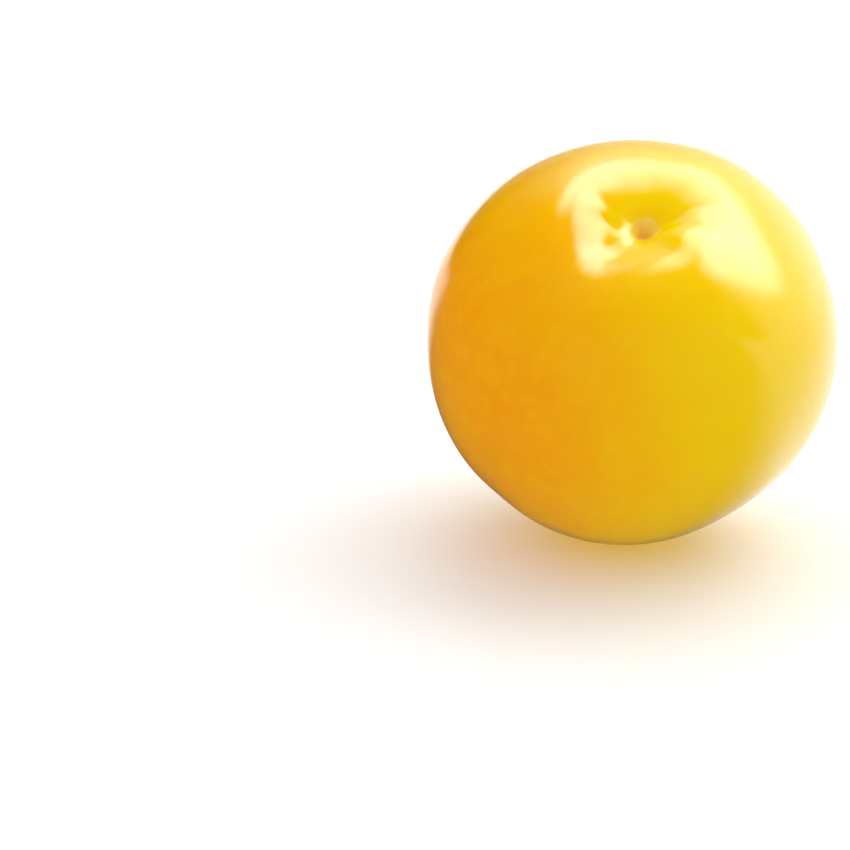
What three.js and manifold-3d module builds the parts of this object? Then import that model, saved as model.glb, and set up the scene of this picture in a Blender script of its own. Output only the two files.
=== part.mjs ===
// A ripe yellow plum, whole and without its stalk, lying tilted on a level surface.
// It grew as one piece, so it is one closed solid: a slightly uneven ball with the stalk's hollow
// at one end, a shallow seam down one side, a faint tip at the other end and a small flat spot
// where its weight rests. Millimetres, +Z up, origin in the middle of the flat spot.
import * as THREE from "three";
import { mergeVertices } from "three/addons/utils/BufferGeometryUtils.js";
import Module from "manifold-3d";

const { PI, sin, cos, acos, exp, abs, hypot } = Math;
const degrees = THREE.MathUtils.degToRad;

// The fruit's own axes: +X towards the seam, +Y across it, +Z along the stalk that it has lost.
// An angle from +Z is its polar angle, and an angle round +Z from the seam is its azimuth.
const HALF_TO_SEAM = 24.9;
const HALF_ACROSS = 26.3;
const HALF_ALONG = 27.1;
const SKEW = -0.04; // one cheek beside the seam is fuller than the other
const TAPER = -0.015; // the tip end is a little fuller than the stalk end

// The hollow round the stalk: an open bowl with a narrow pit in its floor.
const BOWL = { depth: 4.65, reach: degrees(15), sharpness: 2.11 };
const PIT = { depth: 2.29, reach: degrees(4.8) };

// Where the bowl's mouth reaches further out, or less far, as a share of its reach.
const MOUTH_LOBES = [
  { azimuth: degrees(0), width: degrees(35), size: 0.55 },
  { azimuth: degrees(105), width: degrees(40), size: -0.35 },
  { azimuth: degrees(145), width: degrees(35), size: 0.09 },
  { azimuth: degrees(-65), width: degrees(40), size: 0.05 },
  { azimuth: degrees(220), width: degrees(45), size: 0.35 },
];

// Where the bowl's lip is crisper or softer, added to its sharpness.
const LIP_LOBES = [
  { azimuth: degrees(-50), width: degrees(50), size: 1.5 },
  { azimuth: degrees(220), width: degrees(60), size: -0.7 },
];

// Soft swellings on the shoulders round the hollow, and a cheek that is flatter low down.
const SHOULDERS = [
  { azimuth: degrees(59), polar: degrees(23.7), height: 2.5, spread: degrees(17.5) },
  { azimuth: degrees(101), polar: degrees(45.6), height: 2.5, spread: degrees(23.1) },
  { azimuth: degrees(-24), polar: degrees(14), height: 1.45, spread: degrees(17.1) },
  { azimuth: degrees(175), polar: degrees(18.3), height: 1.82, spread: degrees(19.3) },
  { azimuth: degrees(91), polar: degrees(116.2), height: -2.12, spread: degrees(43.5) },
  { azimuth: degrees(194), polar: degrees(59.4), height: 1.27, spread: degrees(35.7) },
];

// The seam is a notch in the hollow's lip that fades to a faint furrow down the side.
const NOTCH = { depth: 1.2, polar: degrees(13), spread: degrees(7), halfWidth: 0.19 };
const FURROW = { depth: 0.25, halfWidth: 0.15, begins: degrees(18), ends: degrees(165) };

// The far end keeps a small dimple with the dried tip of the flower in it.
const TIP_DIMPLE = { depth: 0.7, reach: degrees(9) };

// How the fruit lies: tipped over by its lean, towards -Y and a little to +X, with its seam turned
// to the side, and pressed a little flat where it touches.
const LEAN = degrees(36.4);
const LEAN_HEADING = degrees(4.8);
const SEAM_TURN = degrees(-139.2);
const FLAT_DEPTH = 0.45;

// Facets: how many meridians, how many rings, and how the rings crowd towards the hollow.
const MERIDIANS = 84;
const RINGS = 64;
const CROWDING = 1.35;

/** The shortest way round from one azimuth to another. */
function turnBetween(a, b) {
  const turn = (a - b) % (2 * PI);
  return turn > PI ? turn - 2 * PI : turn < -PI ? turn + 2 * PI : turn;
}

/** A smooth hump that is 1 at 0 and falls away to nothing past its reach. */
function hump(distance, reach, sharpness = 2) {
  return exp(-(abs(distance / reach) ** sharpness));
}

/** The plain uneven ball, before any hollow is pressed into it. */
function ballRadius(x, y, z) {
  const ellipsoid = 1 / hypot(x / HALF_TO_SEAM, y / HALF_ACROSS, z / HALF_ALONG);
  return ellipsoid * (1 + SKEW * x * y + TAPER * z ** 3);
}

/** What a ring of lobes adds up to in one direction. */
function lobed(lobes, azimuth) {
  let sum = 0;
  for (const lobe of lobes) sum += lobe.size * hump(turnBetween(azimuth, lobe.azimuth), lobe.width);
  return sum;
}

/** How deep the stalk's hollow is in one direction. */
function hollowDepth(polar, azimuth) {
  const reach = BOWL.reach * (1 + lobed(MOUTH_LOBES, azimuth));
  const sharpness = BOWL.sharpness + lobed(LIP_LOBES, azimuth);
  return BOWL.depth * hump(polar, reach, sharpness) + PIT.depth * hump(polar, PIT.reach);
}

/** How far the shoulders swell in one direction. */
function shoulderHeight(polar, azimuth) {
  let height = 0;
  for (const s of SHOULDERS) {
    const along = cos(polar) * cos(s.polar);
    const across = sin(polar) * sin(s.polar) * cos(azimuth - s.azimuth);
    const away = acos(THREE.MathUtils.clamp(along + across, -1, 1));
    height += s.height * hump(away, s.spread);
  }
  return height;
}

/** How deep the seam is in one direction. It is on the +X side only. */
function seamDepth(polar, azimuth) {
  const smooth = THREE.MathUtils.smoothstep;
  const side = smooth(sin(polar) * cos(azimuth), 0, 0.12);
  const aside = sin(polar) * sin(azimuth);
  const notch = NOTCH.depth * hump(polar - NOTCH.polar, NOTCH.spread) * hump(aside, NOTCH.halfWidth);
  const along = smooth(polar, FURROW.begins, FURROW.begins + degrees(20));
  const fade = 1 - smooth(polar, FURROW.ends - degrees(25), FURROW.ends);
  return side * (notch + FURROW.depth * along * fade * hump(aside, FURROW.halfWidth));
}

/** The distance from the fruit's middle to its skin in one direction. */
function skinRadius(polar, azimuth) {
  const x = sin(polar) * cos(azimuth);
  const y = sin(polar) * sin(azimuth);
  const tip = TIP_DIMPLE.depth * hump(PI - polar, TIP_DIMPLE.reach);
  return (
    ballRadius(x, y, cos(polar)) +
    shoulderHeight(polar, azimuth) -
    hollowDepth(polar, azimuth) -
    seamDepth(polar, azimuth) -
    tip
  );
}

/** The whole fruit about its own middle and axes. */
function fruitGeometry() {
  const geometry = new THREE.SphereGeometry(1, MERIDIANS, RINGS).rotateX(PI / 2);
  const position = geometry.getAttribute("position");
  const direction = new THREE.Vector3();
  for (let i = 0; i < position.count; i++) {
    direction.fromBufferAttribute(position, i);
    const azimuth = Math.atan2(direction.y, direction.x);
    const even = acos(THREE.MathUtils.clamp(direction.z, -1, 1));
    const polar = PI * (even / PI) ** CROWDING;
    direction.set(sin(polar) * cos(azimuth), sin(polar) * sin(azimuth), cos(polar));
    direction.multiplyScalar(skinRadius(polar, azimuth));
    position.setXYZ(i, direction.x, direction.y, direction.z);
  }
  return geometry;
}

/** Turns the fruit to the way it lies, with its lowest point just below the origin. */
function laidDown(geometry) {
  geometry.rotateZ(SEAM_TURN).rotateX(LEAN).rotateZ(LEAN_HEADING);
  const position = geometry.getAttribute("position");
  const lowest = new THREE.Vector3(0, 0, Infinity);
  const point = new THREE.Vector3();
  for (let i = 0; i < position.count; i++) {
    point.fromBufferAttribute(position, i);
    if (point.z < lowest.z) lowest.copy(point);
  }
  return geometry.translate(-lowest.x, -lowest.y, -lowest.z - FLAT_DEPTH);
}

const wasm = await Module();
wasm.setup();

/** A closed geometry as a solid that can be cut. */
function solidOf(geometry) {
  const bare = geometry.clone().deleteAttribute("normal").deleteAttribute("uv");
  const merged = mergeVertices(bare);
  return new wasm.Manifold(
    new wasm.Mesh({
      numProp: 3,
      vertProperties: merged.getAttribute("position").array,
      triVerts: new Uint32Array(merged.index.array),
    }),
  );
}

/** A solid as a geometry again. */
function geometryOf(solid) {
  const mesh = solid.getMesh();
  return new THREE.BufferGeometry()
    .setAttribute("position", new THREE.BufferAttribute(mesh.vertProperties, 3))
    .setIndex(new THREE.BufferAttribute(mesh.triVerts, 1));
}

/** Everything of a solid that is above the resting surface. */
function restedOnSurface(solid) {
  const side = 4 * HALF_ALONG;
  const below = new THREE.BoxGeometry(side, side, side).translate(0, 0, -side / 2);
  return solid.subtract(solidOf(below));
}

const skin = new THREE.MeshStandardMaterial({ color: 0xe9ad12, roughness: 0.3, metalness: 0 });
const fruit = restedOnSurface(solidOf(laidDown(fruitGeometry())));
const plum = new THREE.Mesh(geometryOf(fruit), skin);
plum.name = "plum";

const group = new THREE.Group();
group.add(plum);

export default group;
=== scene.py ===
from math import cos, pi, radians, sin

import bpy
import numpy as np
from mathutils import Matrix, Quaternion, Vector, noise


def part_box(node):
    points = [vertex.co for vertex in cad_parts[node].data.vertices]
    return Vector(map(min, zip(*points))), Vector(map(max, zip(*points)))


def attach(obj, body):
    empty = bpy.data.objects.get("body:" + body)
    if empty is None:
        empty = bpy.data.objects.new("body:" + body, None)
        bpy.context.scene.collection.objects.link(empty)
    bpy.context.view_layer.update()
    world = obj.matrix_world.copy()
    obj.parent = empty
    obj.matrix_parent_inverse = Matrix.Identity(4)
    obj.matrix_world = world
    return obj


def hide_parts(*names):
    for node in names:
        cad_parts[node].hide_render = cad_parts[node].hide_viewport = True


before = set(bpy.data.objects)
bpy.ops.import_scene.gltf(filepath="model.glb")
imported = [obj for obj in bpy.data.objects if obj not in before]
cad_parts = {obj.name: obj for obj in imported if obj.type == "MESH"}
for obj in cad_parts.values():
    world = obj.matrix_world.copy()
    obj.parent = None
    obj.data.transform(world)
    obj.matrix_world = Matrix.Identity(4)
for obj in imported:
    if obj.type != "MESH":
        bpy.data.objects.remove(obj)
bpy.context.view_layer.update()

# ---------------------------------------------------------------------------------------------
# The plum. A ripe golden plum, grown as one piece: thin waxy skin over soft juicy flesh. An uneven
# ball with a deep hollow where the stalk sat, a shallow seam down one side, and a dried tip where
# the flower was. It lies tipped over on a small flat spot of its own making.
# ---------------------------------------------------------------------------------------------
# Own axes: +X towards the seam, +Y across it, +Z along the stalk. A polar angle is measured from
# +Z, and an azimuth round +Z from the seam. One mm is a millimetre of a fruit of that lying height.
plum_low, plum_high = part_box("plum")
lying_height = 51.98
mm = (plum_high.z - plum_low.z) / lying_height

half_to_seam = 24.9 * mm
half_across = 26.3 * mm
half_along = 27.1 * mm
skew, taper = -0.04, -0.015

# The hollow round the stalk is an open bowl with a narrow pit in its floor. The lobes say where its
# mouth reaches further out or less far, and where its lip is crisper or softer.
bowl_depth, bowl_reach, bowl_sharpness = 4.65 * mm, radians(15), 2.11
pit_depth, pit_reach = 2.29 * mm, radians(4.8)
mouth_lobes = [
    {"azimuth": radians(0), "width": radians(35), "size": 0.55},
    {"azimuth": radians(105), "width": radians(40), "size": -0.35},
    {"azimuth": radians(145), "width": radians(35), "size": 0.09},
    {"azimuth": radians(-65), "width": radians(40), "size": 0.05},
    {"azimuth": radians(220), "width": radians(45), "size": 0.35},
]
lip_lobes = [
    {"azimuth": radians(-50), "width": radians(50), "size": 1.5},
    {"azimuth": radians(220), "width": radians(60), "size": -0.7},
]

# Soft swellings on the shoulders round the hollow, and a cheek that is flatter low down.
shoulders = [
    {"azimuth": radians(59), "polar": radians(23.7), "height": 2.5 * mm, "spread": radians(17.5)},
    {"azimuth": radians(101), "polar": radians(45.6), "height": 2.5 * mm, "spread": radians(23.1)},
    {"azimuth": radians(-24), "polar": radians(14), "height": 1.45 * mm, "spread": radians(17.1)},
    {"azimuth": radians(175), "polar": radians(18.3), "height": 1.82 * mm, "spread": radians(19.3)},
    {"azimuth": radians(91), "polar": radians(116.2), "height": -2.12 * mm, "spread": radians(43.5)},
    {"azimuth": radians(194), "polar": radians(59.4), "height": 1.27 * mm, "spread": radians(35.7)},
]

# The seam's notch and furrow, and the small dimple at the tip.
notch_depth, notch_polar, notch_spread, notch_half_width = 1.2 * mm, radians(13), radians(7), 0.19
furrow_depth, furrow_half_width = 0.25 * mm, 0.15
furrow_begins, furrow_ends = radians(18), radians(165)
tip_dimple_depth, tip_dimple_reach = 0.7 * mm, radians(9)

# How it lies: tipped over, with its seam turned to the side, and pressed a little flat underneath.
lean, lean_heading, seam_turn = radians(36.4), radians(4.8), radians(-139.2)
flat_depth = 0.45 * mm


def hump(distance, reach, sharpness=2):
    """A smooth hump that is 1 at 0 and falls away to nothing past its reach."""
    return np.exp(-(np.abs(distance / reach) ** sharpness))


def smooth_step(value, start, end):
    """Goes smoothly from 0 to 1 as the value goes from start to end."""
    share = np.clip((value - start) / (end - start), 0, 1)
    return share * share * (3 - 2 * share)


def turn_between(a, b):
    """The shortest way round from one azimuth to another."""
    return (a - b + pi) % (2 * pi) - pi


def ball_distance(x, y, z):
    """The plain uneven ball, before any hollow is pressed into it."""
    ellipsoid = 1 / np.sqrt((x / half_to_seam) ** 2 + (y / half_across) ** 2 + (z / half_along) ** 2)
    return ellipsoid * (1 + skew * x * y + taper * z**3)


def lobed(lobes, azimuth):
    """What a ring of lobes adds up to in one direction."""
    humps = (hump(turn_between(azimuth, lobe["azimuth"]), lobe["width"]) * lobe["size"] for lobe in lobes)
    return sum(humps)


def hollow_depth(polar, azimuth):
    """How deep the stalk's hollow is in one direction."""
    reach = bowl_reach * (1 + lobed(mouth_lobes, azimuth))
    sharpness = bowl_sharpness + lobed(lip_lobes, azimuth)
    return bowl_depth * hump(polar, reach, sharpness) + pit_depth * hump(polar, pit_reach)


def shoulder_height(polar, azimuth):
    """How far the shoulders swell in one direction."""
    height = 0
    for s in shoulders:
        along = np.cos(polar) * np.cos(s["polar"])
        across = np.sin(polar) * np.sin(s["polar"]) * np.cos(azimuth - s["azimuth"])
        away = np.arccos(np.clip(along + across, -1, 1))
        height = height + s["height"] * hump(away, s["spread"])
    return height


def seam_depth(polar, azimuth):
    """The seam: a notch in the hollow's lip that fades to a faint furrow down the +X side."""
    side = smooth_step(np.sin(polar) * np.cos(azimuth), 0, 0.12)
    aside = np.sin(polar) * np.sin(azimuth)
    notch = notch_depth * hump(polar - notch_polar, notch_spread) * hump(aside, notch_half_width)
    along = smooth_step(polar, furrow_begins, furrow_begins + radians(20))
    fade = 1 - smooth_step(polar, furrow_ends - radians(25), furrow_ends)
    return side * (notch + furrow_depth * along * fade * hump(aside, furrow_half_width))


def skin_distance(polar, azimuth):
    """The distance from the fruit's middle to its skin in one direction."""
    x = np.sin(polar) * np.cos(azimuth)
    y = np.sin(polar) * np.sin(azimuth)
    tip = tip_dimple_depth * hump(pi - polar, tip_dimple_reach)
    body = ball_distance(x, y, np.cos(polar)) + shoulder_height(polar, azimuth)
    return body - hollow_depth(polar, azimuth) - seam_depth(polar, azimuth) - tip


# The skin's mesh: rings of points that crowd towards the hollow, and one point at each end.
meridians, rings, crowding = 312, 296, 1.35
ring_polar = pi * (np.arange(1, rings) / rings) ** crowding
meridian_azimuth = 2 * pi * np.arange(meridians) / meridians
polar, azimuth = np.meshgrid(ring_polar, meridian_azimuth, indexing="ij")
polar = np.concatenate([[0], polar.ravel(), [pi]])
azimuth = np.concatenate([[0], azimuth.ravel(), [0]])
towards = np.stack([np.sin(polar) * np.cos(azimuth), np.sin(polar) * np.sin(azimuth), np.cos(polar)], 1)
points = towards * skin_distance(polar, azimuth)[:, None]


def unevenness(point):
    """How far the skin swells or sinks at a point: broad soft facets, with smaller dents on them."""
    p = Vector(point) / mm
    return (0.16 * noise.noise(p / 11) + 0.04 * noise.noise(p / 5 + Vector((7, 3, 1)))) * mm


# The skin swells less round the hollow, where fine folds run out from the stalk instead. The scar
# that the stalk left is a sunk disc with a low rim.
swelling = np.array([unevenness(p) for p in points])
near_hollow = hump(polar, radians(48), 4)
folds = 0.045 * mm * hump(polar - radians(13), radians(6)) * np.sin(
    9 * azimuth + 1.5 * np.sin(2 * azimuth + 1) + 0.8 * np.sin(5 * azimuth)
)
scar_rim = 0.12 * mm * hump(polar - radians(4.2), radians(0.9))
scar_floor = -0.2 * mm * hump(polar, radians(3), 4)
points += towards * (swelling * (1 - 0.7 * near_hollow) + folds + scar_rim + scar_floor)[:, None]

# Quads between the rings, and a fan of triangles round each end.
faces = []
for ring in range(rings - 2):
    first = 1 + ring * meridians
    for m in range(meridians):
        n = (m + 1) % meridians
        faces.append((first + m, first + meridians + m, first + meridians + n, first + n))
last = len(points) - 1
last_ring = last - meridians
for m in range(meridians):
    n = (m + 1) % meridians
    faces.append((0, 1 + m, 1 + n))
    faces.append((last, last_ring + n, last_ring + m))

# Laid down, with its lowest point under the origin, and cut flat where it rests.
lie = Matrix.Rotation(lean_heading, 4, "Z") @ Matrix.Rotation(lean, 4, "X")
lie = lie @ Matrix.Rotation(seam_turn, 4, "Z")
turned = points @ np.array(lie.to_3x3()).T
lowest = turned[np.argmin(turned[:, 2])]
middle = Vector((-lowest[0], -lowest[1], -lowest[2] - flat_depth))
points = turned + np.array(middle)
points[:, 2] = np.maximum(points[:, 2], 0)

plum_mesh = bpy.data.meshes.new("plum_body")
plum_mesh.from_pydata(points.tolist(), [], faces)
plum_mesh.shade_smooth()
plum = bpy.data.objects.new("plum_body", plum_mesh)
bpy.context.scene.collection.objects.link(plum)


def add_node(tree, kind, settings=None, inputs=None):
    """Adds a shader node. An input is a number, a colour, or the output of another node."""
    made = tree.nodes.new(kind)
    for name, value in (settings or {}).items():
        setattr(made, name, value)
    for name, value in (inputs or {}).items():
        if isinstance(value, bpy.types.NodeSocket):
            tree.links.new(value, made.inputs[name])
        else:
            made.inputs[name].default_value = value
    return made


golden_skin = bpy.data.materials.new("golden_plum_skin")
golden_skin.use_nodes = True
skin_tree = golden_skin.node_tree


def mixed(share, one, other):
    """One colour, going over to another as the share goes from 0 to 1."""
    inputs = {0: share, 6: one, 7: other}
    return add_node(skin_tree, "ShaderNodeMix", {"data_type": "RGBA"}, inputs).outputs[2]


def worked_out(operation, *values):
    """The result of a sum on numbers, or on the outputs of other nodes."""
    made = add_node(skin_tree, "ShaderNodeMath", {"operation": operation}, dict(enumerate(values)))
    return made.outputs[0]


def vector_worked_out(operation, *values):
    """The same for vectors. A dot product comes out as a number."""
    made = add_node(skin_tree, "ShaderNodeVectorMath", {"operation": operation}, dict(enumerate(values)))
    return made.outputs["Value" if operation == "DOT_PRODUCT" else "Vector"]


def eased(value, start, end, first=0, last=1):
    """Goes smoothly from first to last as the value goes from start to end."""
    spans = {"Value": value, "From Min": start, "From Max": end, "To Min": first, "To Max": last}
    made = add_node(skin_tree, "ShaderNodeMapRange", {"interpolation_type": "SMOOTHSTEP"}, spans)
    return made.outputs["Result"]


def clouds(place, size, detail=2, roughness=0.5):
    """Soft random patches of about that size."""
    inputs = {"Vector": place, "Scale": 1 / size, "Detail": detail, "Roughness": roughness}
    return add_node(skin_tree, "ShaderNodeTexNoise", None, inputs).outputs["Fac"]


# Places on the skin in metres: as the fruit lies, and on its own axes. Directions are from its middle.
lying_place = add_node(skin_tree, "ShaderNodeTexCoord").outputs["Object"]
lying_direction = vector_worked_out("NORMALIZE", vector_worked_out("SUBTRACT", lying_place, middle))
own_place = add_node(
    skin_tree,
    "ShaderNodeMapping",
    {"vector_type": "TEXTURE"},
    {"Vector": lying_place, "Location": middle, "Rotation": lie.to_euler()},
).outputs[0]
own_direction = vector_worked_out("NORMALIZE", own_place)
own_xyz = add_node(skin_tree, "ShaderNodeSeparateXYZ", None, {0: own_direction}).outputs
from_stalk = worked_out("ARCCOSINE", own_xyz["Z"])

# Ripe yellow; a deeper amber on the left side as the fruit lies, partly a ripe blush and partly painted
# shade; and a fresher yellow on the right side, partly a paler cheek and partly painted light where the
# lamps fall.
ripe_yellow = (0.94, 0.54, 0.0, 1)
amber_blush_and_shade = (0.96, 0.37, 0.0, 1)
pale_cheek_and_lit_yellow = (0.95, 0.65, 0.0, 1)
blush_and_shade_side = Vector((-0.88, -0.42, -0.15)).normalized()
pale_and_lit_side = Vector((0.85, -0.2, 0.3)).normalized()
drift = worked_out("MULTIPLY", worked_out("SUBTRACT", clouds(own_place, 12 * mm), 0.5), 0.5)
towards_blush_and_shade = worked_out("ADD", vector_worked_out("DOT_PRODUCT", lying_direction, blush_and_shade_side), drift)
towards_pale_and_lit = worked_out("ADD", vector_worked_out("DOT_PRODUCT", lying_direction, pale_and_lit_side), drift)
# Both are set by the direction as the fruit lies, so the painted shade stays on the left and the painted
# light on the right.
colour = mixed(eased(towards_blush_and_shade, 0.1, 0.95), ripe_yellow, amber_blush_and_shade)
colour = mixed(eased(towards_pale_and_lit, 0.1, 0.9), colour, pale_cheek_and_lit_yellow)

# Paler flesh shows through the thin skin in faint clouds, and in streaks that run from the stalk.
pale_flesh = (0.95, 0.70, 0.0, 1)
mottling = eased(clouds(own_place, 2.6 * mm, 4, 0.6), 0.45, 0.75, 0, 0.16)
colour = mixed(mottling, colour, pale_flesh)
across_stalk = {"X": own_xyz["X"], "Y": own_xyz["Y"]}
flat_xy = add_node(skin_tree, "ShaderNodeCombineXYZ", None, across_stalk).outputs[0]
streaks_round = {0: vector_worked_out("NORMALIZE", flat_xy), "Scale": 9}
compass = add_node(skin_tree, "ShaderNodeVectorMath", {"operation": "SCALE"}, streaks_round).outputs[0]
streaks_along = {"Z": worked_out("MULTIPLY", from_stalk, 1.6)}
down_the_side = add_node(skin_tree, "ShaderNodeCombineXYZ", None, streaks_along).outputs[0]
streak_place = vector_worked_out("ADD", compass, down_the_side)
streaks = eased(clouds(streak_place, 0.7, 3, 0.6), 0.5, 0.72)
streaks = worked_out("MULTIPLY", streaks, eased(from_stalk, radians(14), radians(95), 0.12, 0.03))
colour = mixed(streaks, colour, pale_flesh)

# Breathing pores: fine pale dots, each of its own size, that get larger towards the tip.
pore_spacing = 1.7 * mm
pore_layout = {"Vector": own_place, "Scale": 1 / pore_spacing, "Randomness": 1.0}
pore_cells = add_node(skin_tree, "ShaderNodeTexVoronoi", None, pore_layout)
pore_colour = {0: pore_cells.outputs["Color"]}
pore_size = add_node(skin_tree, "ShaderNodeSeparateColor", None, pore_colour).outputs[0]
larger_to_tip = eased(from_stalk, 0.3, 2.6, 0.8, 1.3)
pore_edge = worked_out("MULTIPLY", eased(pore_size, 0.2, 1.0, 0.02, 0.13), larger_to_tip)
pores = eased(worked_out("SUBTRACT", pore_edge, pore_cells.outputs["Distance"]), -0.03, 0.06)
colour = mixed(worked_out("MULTIPLY", pores, 0.2), colour, (0.98, 0.78, 0.03, 1))

# A thin uneven film of wax, rubbed off in places.
wax = eased(clouds(own_place, 9 * mm, 3, 0.6), 0.42, 0.7)
colour = mixed(worked_out("MULTIPLY", wax, 0.04), colour, (0.95, 0.80, 0.03, 1))

# The corky scar that the stalk left in the hollow, with painted light brightening the hollow round it, and
# the dried tip of the flower.
ragged = worked_out("SUBTRACT", clouds(own_place, 0.9 * mm, 3), 0.5)
ragged = worked_out("MULTIPLY", ragged, radians(1.8))
ragged_from_stalk = worked_out("ADD", from_stalk, ragged)
scar = eased(ragged_from_stalk, radians(5.2), radians(3.6))
scar_middle = eased(ragged_from_stalk, radians(3.0), radians(1.4))
cork = mixed(clouds(own_place, 0.5 * mm, 4), (0.96, 0.61, 0.05, 1), (0.99, 0.76, 0.13, 1))
cork = mixed(scar_middle, cork, (0.92, 0.56, 0.06, 1))
# Painted light: the hollow round the scar is a brighter yellow, standing in for light bounced round the
# hollow and carried through the flesh.
painted_hollow_light = eased(from_stalk, radians(20), radians(8), 0, 0.8)
colour = mixed(painted_hollow_light, colour, (0.97, 0.66, 0.0, 1))
colour = mixed(scar, colour, cork)
from_tip = worked_out("SUBTRACT", pi, from_stalk)
dried_tip = eased(worked_out("ADD", from_tip, ragged), radians(3.6), radians(1.8))
colour = mixed(dried_tip, colour, (0.16, 0.07, 0.02, 1))

# The skin is glossy, less so under the wax, and the scar and the dried tip are dull and rough.
dry = worked_out("MAXIMUM", scar, dried_tip)
roughness = worked_out("ADD", eased(wax, 0, 1, 0.15, 0.21), worked_out("MULTIPLY", dry, 0.35))

grain = clouds(own_place, 0.8 * mm, 3, 0.55)
relief = worked_out("ADD", grain, worked_out("MULTIPLY", pores, 0.5))
dry_relief = worked_out("MULTIPLY", worked_out("MULTIPLY", dry, 6), clouds(own_place, 0.4 * mm, 4))
relief = worked_out("ADD", relief, dry_relief)
bumps = add_node(
    skin_tree, "ShaderNodeBump", None, {"Height": relief, "Strength": 0.35, "Distance": 0.03 * mm}
).outputs["Normal"]

# Light goes some way into the flesh, red the furthest.
skin_shader = skin_tree.nodes["Principled BSDF"]
skin_shader.inputs["IOR"].default_value = 1.46
skin_shader.inputs["Subsurface Weight"].default_value = 0.8
skin_shader.inputs["Subsurface Radius"].default_value = (1.0, 0.55, 0.08)
skin_shader.inputs["Subsurface Scale"].default_value = 6 * mm
skin_tree.links.new(colour, skin_shader.inputs["Base Color"])
skin_tree.links.new(roughness, skin_shader.inputs["Roughness"])
skin_tree.links.new(bumps, skin_shader.inputs["Normal"])
plum_mesh.materials.append(golden_skin)

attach(plum, "root")
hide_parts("plum")

# ---------------------------------------------------------------------------------------------
# The studio: a white table in a white room, with two lamps behind white cloths. The lamps light the
# fruit, and the room and the table give even light too. What the gloss of the skin mirrors is set
# apart from that light: a smooth glow by direction, and a table that is bright behind the fruit only.
# ---------------------------------------------------------------------------------------------
scene = bpy.context.scene
scene.view_settings.view_transform = "Standard"

half_table = 3.0
table_corners = [(-half_table, -half_table, 0), (half_table, -half_table, 0)]
table_corners += [(half_table, half_table, 0), (-half_table, half_table, 0)]
table_mesh = bpy.data.meshes.new("white_table")
table_mesh.from_pydata(table_corners, [], [(0, 1, 2, 3)])
table = bpy.data.objects.new("white_table", table_mesh)
table.location.z = -0.1 * mm
scene.collection.objects.link(table)

# The camera sees white paint in the lamps' light. Rays that leave the fruit see an even glow, so the
# fruit's shadow doesn't darken its own underside, and mirrored rays see the glow with a dark front.
table_paint = bpy.data.materials.new("white_table_top")
table_paint.use_nodes = True
table_tree = table_paint.node_tree
white_paint = table_tree.nodes["Principled BSDF"]
white_paint.inputs["Base Color"].default_value = (0.93, 0.93, 0.93, 1)
white_paint.inputs["Roughness"].default_value = 0.6
ray = add_node(table_tree, "ShaderNodeLightPath").outputs
table_place = add_node(table_tree, "ShaderNodeNewGeometry").outputs["Position"]
behind_right = {0: table_place, 1: (0.7, 0.7, 0)}
how_far = add_node(table_tree, "ShaderNodeVectorMath", {"operation": "DOT_PRODUCT"}, behind_right)
dark_to_bright = {
    "Value": how_far.outputs["Value"], "From Min": -0.002, "From Max": 0.026, "To Min": 0.08, "To Max": 1.3
}
mirrored_table = add_node(
    table_tree, "ShaderNodeMapRange", {"interpolation_type": "SMOOTHSTEP"}, dark_to_bright
).outputs["Result"]
even_or_mirrored = {0: ray["Is Glossy Ray"], 2: 0.87, 3: mirrored_table}
table_glow = add_node(table_tree, "ShaderNodeMix", {"data_type": "FLOAT"}, even_or_mirrored).outputs[0]
glowing = add_node(table_tree, "ShaderNodeEmission", None, {"Strength": table_glow}).outputs[0]
seen_table = add_node(
    table_tree, "ShaderNodeMixShader", None, {0: ray["Is Camera Ray"], 1: glowing, 2: white_paint.outputs[0]}
).outputs[0]
table_tree.links.new(seen_table, table_tree.nodes["Material Output"].inputs["Surface"])
table_mesh.materials.append(table_paint)

# Light sampling would pass over which kind of ray sees the glow, so it is off for table and room.
table_paint.cycles.emission_sampling = "NONE"
world = bpy.data.worlds.new("white_studio")
world.cycles.sampling_method = "NONE"
world.use_nodes = True
scene.world = world
sky_tree = world.node_tree
looking = add_node(sky_tree, "ShaderNodeTexCoord").outputs["Generated"]


def glow_towards(direction, start, end, strength):
    """Light that comes up smoothly as the look swings round to a direction."""
    between = {0: looking, 1: direction}
    turned_to = add_node(sky_tree, "ShaderNodeVectorMath", {"operation": "DOT_PRODUCT"}, between)
    spans = {"Value": turned_to.outputs["Value"], "From Min": start, "From Max": end, "To Max": strength}
    made = add_node(sky_tree, "ShaderNodeMapRange", {"interpolation_type": "SMOOTHSTEP"}, spans)
    return made.outputs["Result"]


def sky_worked_out(operation, one, other):
    return add_node(sky_tree, "ShaderNodeMath", {"operation": operation}, {0: one, 1: other}).outputs[0]


def sky_switched(ray_kind, otherwise, seen):
    """One strength for rays of one kind, and another for the rest."""
    inputs = {0: ray_kind, 2: otherwise, 3: seen}
    return add_node(sky_tree, "ShaderNodeMix", {"data_type": "FLOAT"}, inputs).outputs[0]


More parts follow.
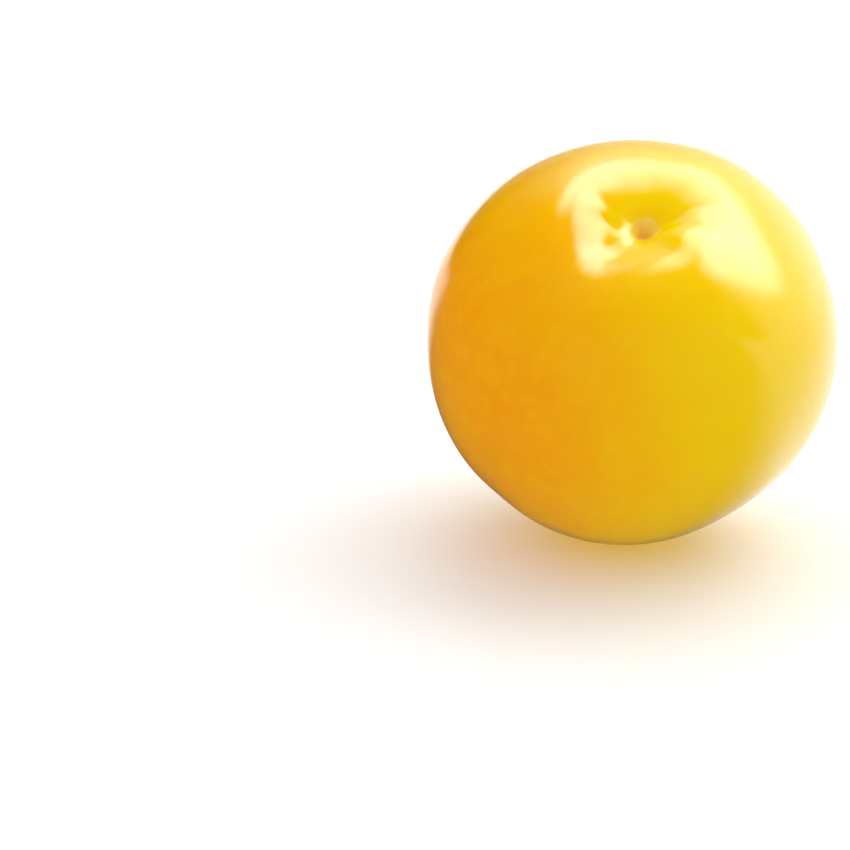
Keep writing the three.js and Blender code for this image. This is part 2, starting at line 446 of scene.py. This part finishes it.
# Mirrored in the skin: a white wall behind and to the right that gets brighter upwards, with a wide
# lit cloth overhead and a brighter one high on the right. The rest of the room is dark.
wall_side = glow_towards((0.77, 0.64, 0), -0.15, 0.35, 1)
upper_wall = sky_worked_out("MULTIPLY", wall_side, glow_towards((0, 0, 1), 0.3, 1, 2.6))
wall = sky_worked_out("ADD", upper_wall, glow_towards((0.9, 0.43, 0), -0.1, 0.95, 1.5))
wall = sky_worked_out("MULTIPLY", wall, glow_towards((0.42, 0.91, 0), -0.12, 0.15, 1))
overhead_cloth = glow_towards((0.04, 0.29, 0.96), 0.86, 1, 5.5)
right_cloth = glow_towards((0.63, 0.13, 0.765), 0.87, 1, 8)
cloths = sky_worked_out("ADD", overhead_cloth, right_cloth)
mirrored_room = sky_worked_out("ADD", sky_worked_out("ADD", wall, cloths), 0.005)
seen_by = add_node(sky_tree, "ShaderNodeLightPath").outputs
strength = sky_switched(seen_by["Is Glossy Ray"], 0.98, mirrored_room)
strength = sky_switched(seen_by["Is Camera Ray"], strength, 1.0)
sky = sky_tree.nodes["Background"]
sky.inputs["Color"].default_value = (1, 1, 1, 1)
sky_tree.links.new(strength, sky.inputs["Strength"])


def softbox(name, place, width, height, power, spin):
    """A lamp behind a white cloth, aimed at the fruit. The mirrored room has its reflection."""
    lamp = bpy.data.lights.new(name, "AREA")
    lamp.shape = "RECTANGLE"
    lamp.size, lamp.size_y = width, height
    lamp.energy = power
    holder = bpy.data.objects.new(name, lamp)
    holder.location = place
    holder.rotation_mode = "QUATERNION"
    holder.rotation_quaternion = (middle - Vector(place)).to_track_quat("-Z", "Y")
    holder.rotation_quaternion @= Quaternion((0, 0, 1), spin)
    holder.visible_camera = False
    holder.visible_glossy = False
    scene.collection.objects.link(holder)


softbox("overhead_softbox", (0.142, 0.16, 0.42), 0.341, 0.5, 0.36, radians(-38))
softbox("right_softbox", (0.379, 0.068, 0.5), 0.254, 0.45, 0.48, radians(-23))

eye = bpy.data.cameras.new("camera")
eye.lens = 100
eye.sensor_width = 36
camera = bpy.data.objects.new("camera", eye)
rise, distance = radians(16), 0.3012
camera.location = middle + distance * Vector((0, -cos(rise), sin(rise)))
aim = middle + Vector((-0.0263, 0, -0.0109))
camera.rotation_mode = "QUATERNION"
camera.rotation_quaternion = (aim - camera.location).to_track_quat("-Z", "Y")
scene.collection.objects.link(camera)
scene.camera = camera
